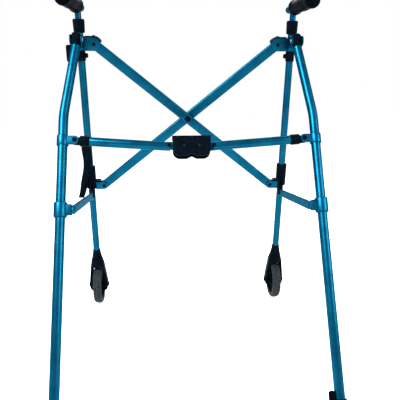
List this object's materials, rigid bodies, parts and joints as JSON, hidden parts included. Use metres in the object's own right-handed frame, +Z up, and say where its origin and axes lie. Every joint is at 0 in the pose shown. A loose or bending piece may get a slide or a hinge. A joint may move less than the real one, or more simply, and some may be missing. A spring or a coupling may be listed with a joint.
{
  "type": "two-wheeled folding walker",
  "caption": "Folding walker with raked front tubes on small wheels, leaning rear legs, a crossing scissor brace, a folding locking bar and two grips.",
  "frame": {"origin": "floor, under the centre of the bounding box", "axes": "+X to the user's right, +Y forward, the way the user walks, +Z up"},
  "size_m": [0.635, 0.6242, 0.8765],
  "materials": {
    "painted_tube": "clear-coated metallic blue",
    "painted_link": "satin grey-blue",
    "black_nylon": "moulded, satin",
    "grip_rubber": "soft matt",
    "tyre_rubber": "matt",
    "pin_steel": "brushed"
  },
  "bodies": {
    "left_side": {"front_tube_left": "painted_tube", "fork_left": "black_nylon", "axle_left": "black_nylon", "post_collar_left": "black_nylon", "lock_collar_left": "black_nylon", "top_bracket_left": "painted_tube", "bracket_cover_left": "black_nylon", "upper_brace_pin_left": "black_nylon", "leg_pivot_pin_left": "pin_steel", "bumper_left": "black_nylon"},
    "right_side": {"front_tube_right": "painted_tube", "fork_right": "black_nylon", "axle_right": "black_nylon", "post_collar_right": "black_nylon", "lock_collar_right": "black_nylon", "top_bracket_right": "painted_tube", "bracket_cover_right": "black_nylon", "upper_brace_pin_right": "black_nylon", "leg_pivot_pin_right": "pin_steel"},
    "left_handle": {"handle_post_left": "painted_tube", "grip_left": "grip_rubber"},
    "right_handle": {"handle_post_right": "painted_tube", "grip_right": "grip_rubber"},
    "left_knob": {"height_knob_left": "black_nylon"},
    "right_knob": {"height_knob_right": "black_nylon"},
    "left_wheel": {"tyre_left": "tyre_rubber", "hub_left": "black_nylon"},
    "right_wheel": {"tyre_right": "tyre_rubber", "hub_right": "black_nylon"},
    "left_leg": {"rear_leg_left": "painted_tube", "leg_cap_left": "black_nylon", "foot_left": "grip_rubber", "upper_ring_left": "painted_tube", "ear_bolt_left": "black_nylon", "lower_ring_left": "painted_tube"},
    "right_leg": {"rear_leg_right": "painted_tube", "leg_cap_right": "black_nylon", "foot_right": "grip_rubber", "upper_ring_right": "painted_tube", "ear_bolt_right": "black_nylon", "lower_ring_right": "painted_tube"},
    "left_brace": {"brace_bar_left": "painted_tube", "brace_center_bolt": "black_nylon"},
    "right_brace": {"brace_bar_right": "painted_tube"},
    "left_collar": {"slide_collar_left": "black_nylon", "collar_clevis_left": "painted_tube", "lower_brace_pin_left": "black_nylon"},
    "right_collar": {"slide_collar_right": "black_nylon", "collar_clevis_right": "painted_tube", "lower_brace_pin_right": "black_nylon"},
    "left_link": {"side_link_left": "painted_link"},
    "right_link": {"side_link_right": "painted_link"},
    "left_half_bar": {"half_bar_left": "painted_tube", "bar_end_plug_left": "black_nylon"},
    "right_half_bar": {"half_bar_right": "painted_tube", "bar_end_plug_right": "black_nylon"},
    "housing": {"centre_housing": "black_nylon"},
    "lever": {"release_lever": "black_nylon"}
  },
  "joints": [
    {"name": "fold", "type": "hinge", "parent": "left_side", "child": "left_brace", "pos_m": [-0.238, 0.14926, 0.76511], "axis": [0, 0.9925, 0.1219], "range_deg": [0, 29]},
    {"name": "brace_crossing", "type": "hinge", "parent": "left_brace", "child": "right_brace", "pos_m": [0, 0.17997, 0.57498], "axis": [0, 0.9925, 0.1219], "range_deg": [-58, 0]},
    {"name": "right_upper_pivot", "type": "hinge", "parent": "right_brace", "child": "right_side", "pos_m": [0.238, 0.16376, 0.76689], "axis": [0, 0.9925, 0.1219], "range_deg": [0, 29]},
    {"name": "right_collar_pivot", "type": "hinge", "parent": "left_brace", "child": "right_collar", "pos_m": [0.238, 0.19617, 0.38308], "axis": [0, 0.9925, 0.1219], "range_deg": [-29, 0]},
    {"name": "left_collar_pivot", "type": "hinge", "parent": "right_brace", "child": "left_collar", "pos_m": [-0.238, 0.21066, 0.38486], "axis": [0, 0.9925, 0.1219], "range_deg": [0, 29]},
    {"name": "left_leg_pivot", "type": "hinge", "parent": "left_side", "child": "left_leg", "pos_m": [-0.276, 0.10952, 0.772], "axis": [1, 0, 0], "range_deg": [0, 12.47]},
    {"name": "right_leg_pivot", "type": "hinge", "parent": "right_side", "child": "right_leg", "pos_m": [0.276, 0.10952, 0.772], "axis": [1, 0, 0], "range_deg": [0, 12.47]},
    {"name": "left_link_pivot", "type": "hinge", "parent": "left_collar", "child": "left_link", "pos_m": [-0.271, 0.19668, 0.35674], "axis": [1, 0, 0], "range_deg": [-32.58, 0]},
    {"name": "right_link_pivot", "type": "hinge", "parent": "right_collar", "child": "right_link", "pos_m": [0.271, 0.19668, 0.35674], "axis": [1, 0, 0], "range_deg": [-32.58, 0]},
    {"name": "left_bar_pivot", "type": "hinge", "parent": "left_leg", "child": "left_half_bar", "pos_m": [-0.272, -0.01178, 0.53898], "axis": [0, 0.887, -0.4618], "range_deg": [-63.39, 0]},
    {"name": "right_bar_pivot", "type": "hinge", "parent": "right_leg", "child": "right_half_bar", "pos_m": [0.272, -0.01178, 0.53898], "axis": [0, 0.887, -0.4618], "range_deg": [0, 63.39]},
    {"name": "housing_pivot", "type": "hinge", "parent": "left_half_bar", "child": "housing", "pos_m": [-0.018, -0.0206, 0.52204], "axis": [0, 0.887, -0.4618], "range_deg": [0, 63.39]},
    {"name": "left_handle_height", "type": "slide", "parent": "left_side", "child": "left_handle", "axis": [0, -0.1219, 0.9925], "range_m": [0, 0.1]},
    {"name": "right_handle_height", "type": "slide", "parent": "right_side", "child": "right_handle", "axis": [0, -0.1219, 0.9925], "range_m": [0, 0.1]},
    {"name": "left_knob_pull", "type": "slide", "parent": "left_side", "child": "left_knob", "axis": [1, 0, 0], "range_m": [0, 0.004], "stiffness_N_per_m": 300},
    {"name": "right_knob_pull", "type": "slide", "parent": "right_side", "child": "right_knob", "axis": [-1, 0, 0], "range_m": [0, 0.004], "stiffness_N_per_m": 300},
    {"name": "left_wheel_axle", "type": "hinge", "parent": "left_side", "child": "left_wheel", "pos_m": [-0.276, 0.25458, 0.0575], "axis": [1, 0, 0], "continuous": true},
    {"name": "right_wheel_axle", "type": "hinge", "parent": "right_side", "child": "right_wheel", "pos_m": [0.276, 0.25458, 0.0575], "axis": [1, 0, 0], "continuous": true},
    {"name": "release_lever_hinge", "type": "hinge", "parent": "left_collar", "child": "lever", "pos_m": [-0.276, 0.2074, 0.39252], "axis": [1, 0, 0], "range_deg": [0, 10], "stiffness_Nm_per_rad": 0.8}
  ],
  "couplings": [
    {"joint": "brace_crossing", "follows": "fold", "ratio": -2},
    {"joint": "right_upper_pivot", "follows": "fold", "ratio": 1},
    {"joint": "right_collar_pivot", "follows": "fold", "ratio": -1},
    {"joint": "left_collar_pivot", "follows": "fold", "ratio": 1},
    {"joint": "left_leg_pivot", "follows": "fold", "ratio": 0.43013},
    {"joint": "right_leg_pivot", "follows": "fold", "ratio": 0.43013},
    {"joint": "left_link_pivot", "follows": "fold", "ratio": -1.1235},
    {"joint": "right_link_pivot", "follows": "fold", "ratio": -1.1235},
    {"joint": "left_bar_pivot", "follows": "fold", "ratio": -2.1858},
    {"joint": "right_bar_pivot", "follows": "fold", "ratio": 2.1858},
    {"joint": "housing_pivot", "follows": "fold", "ratio": 2.1858}
  ]
}
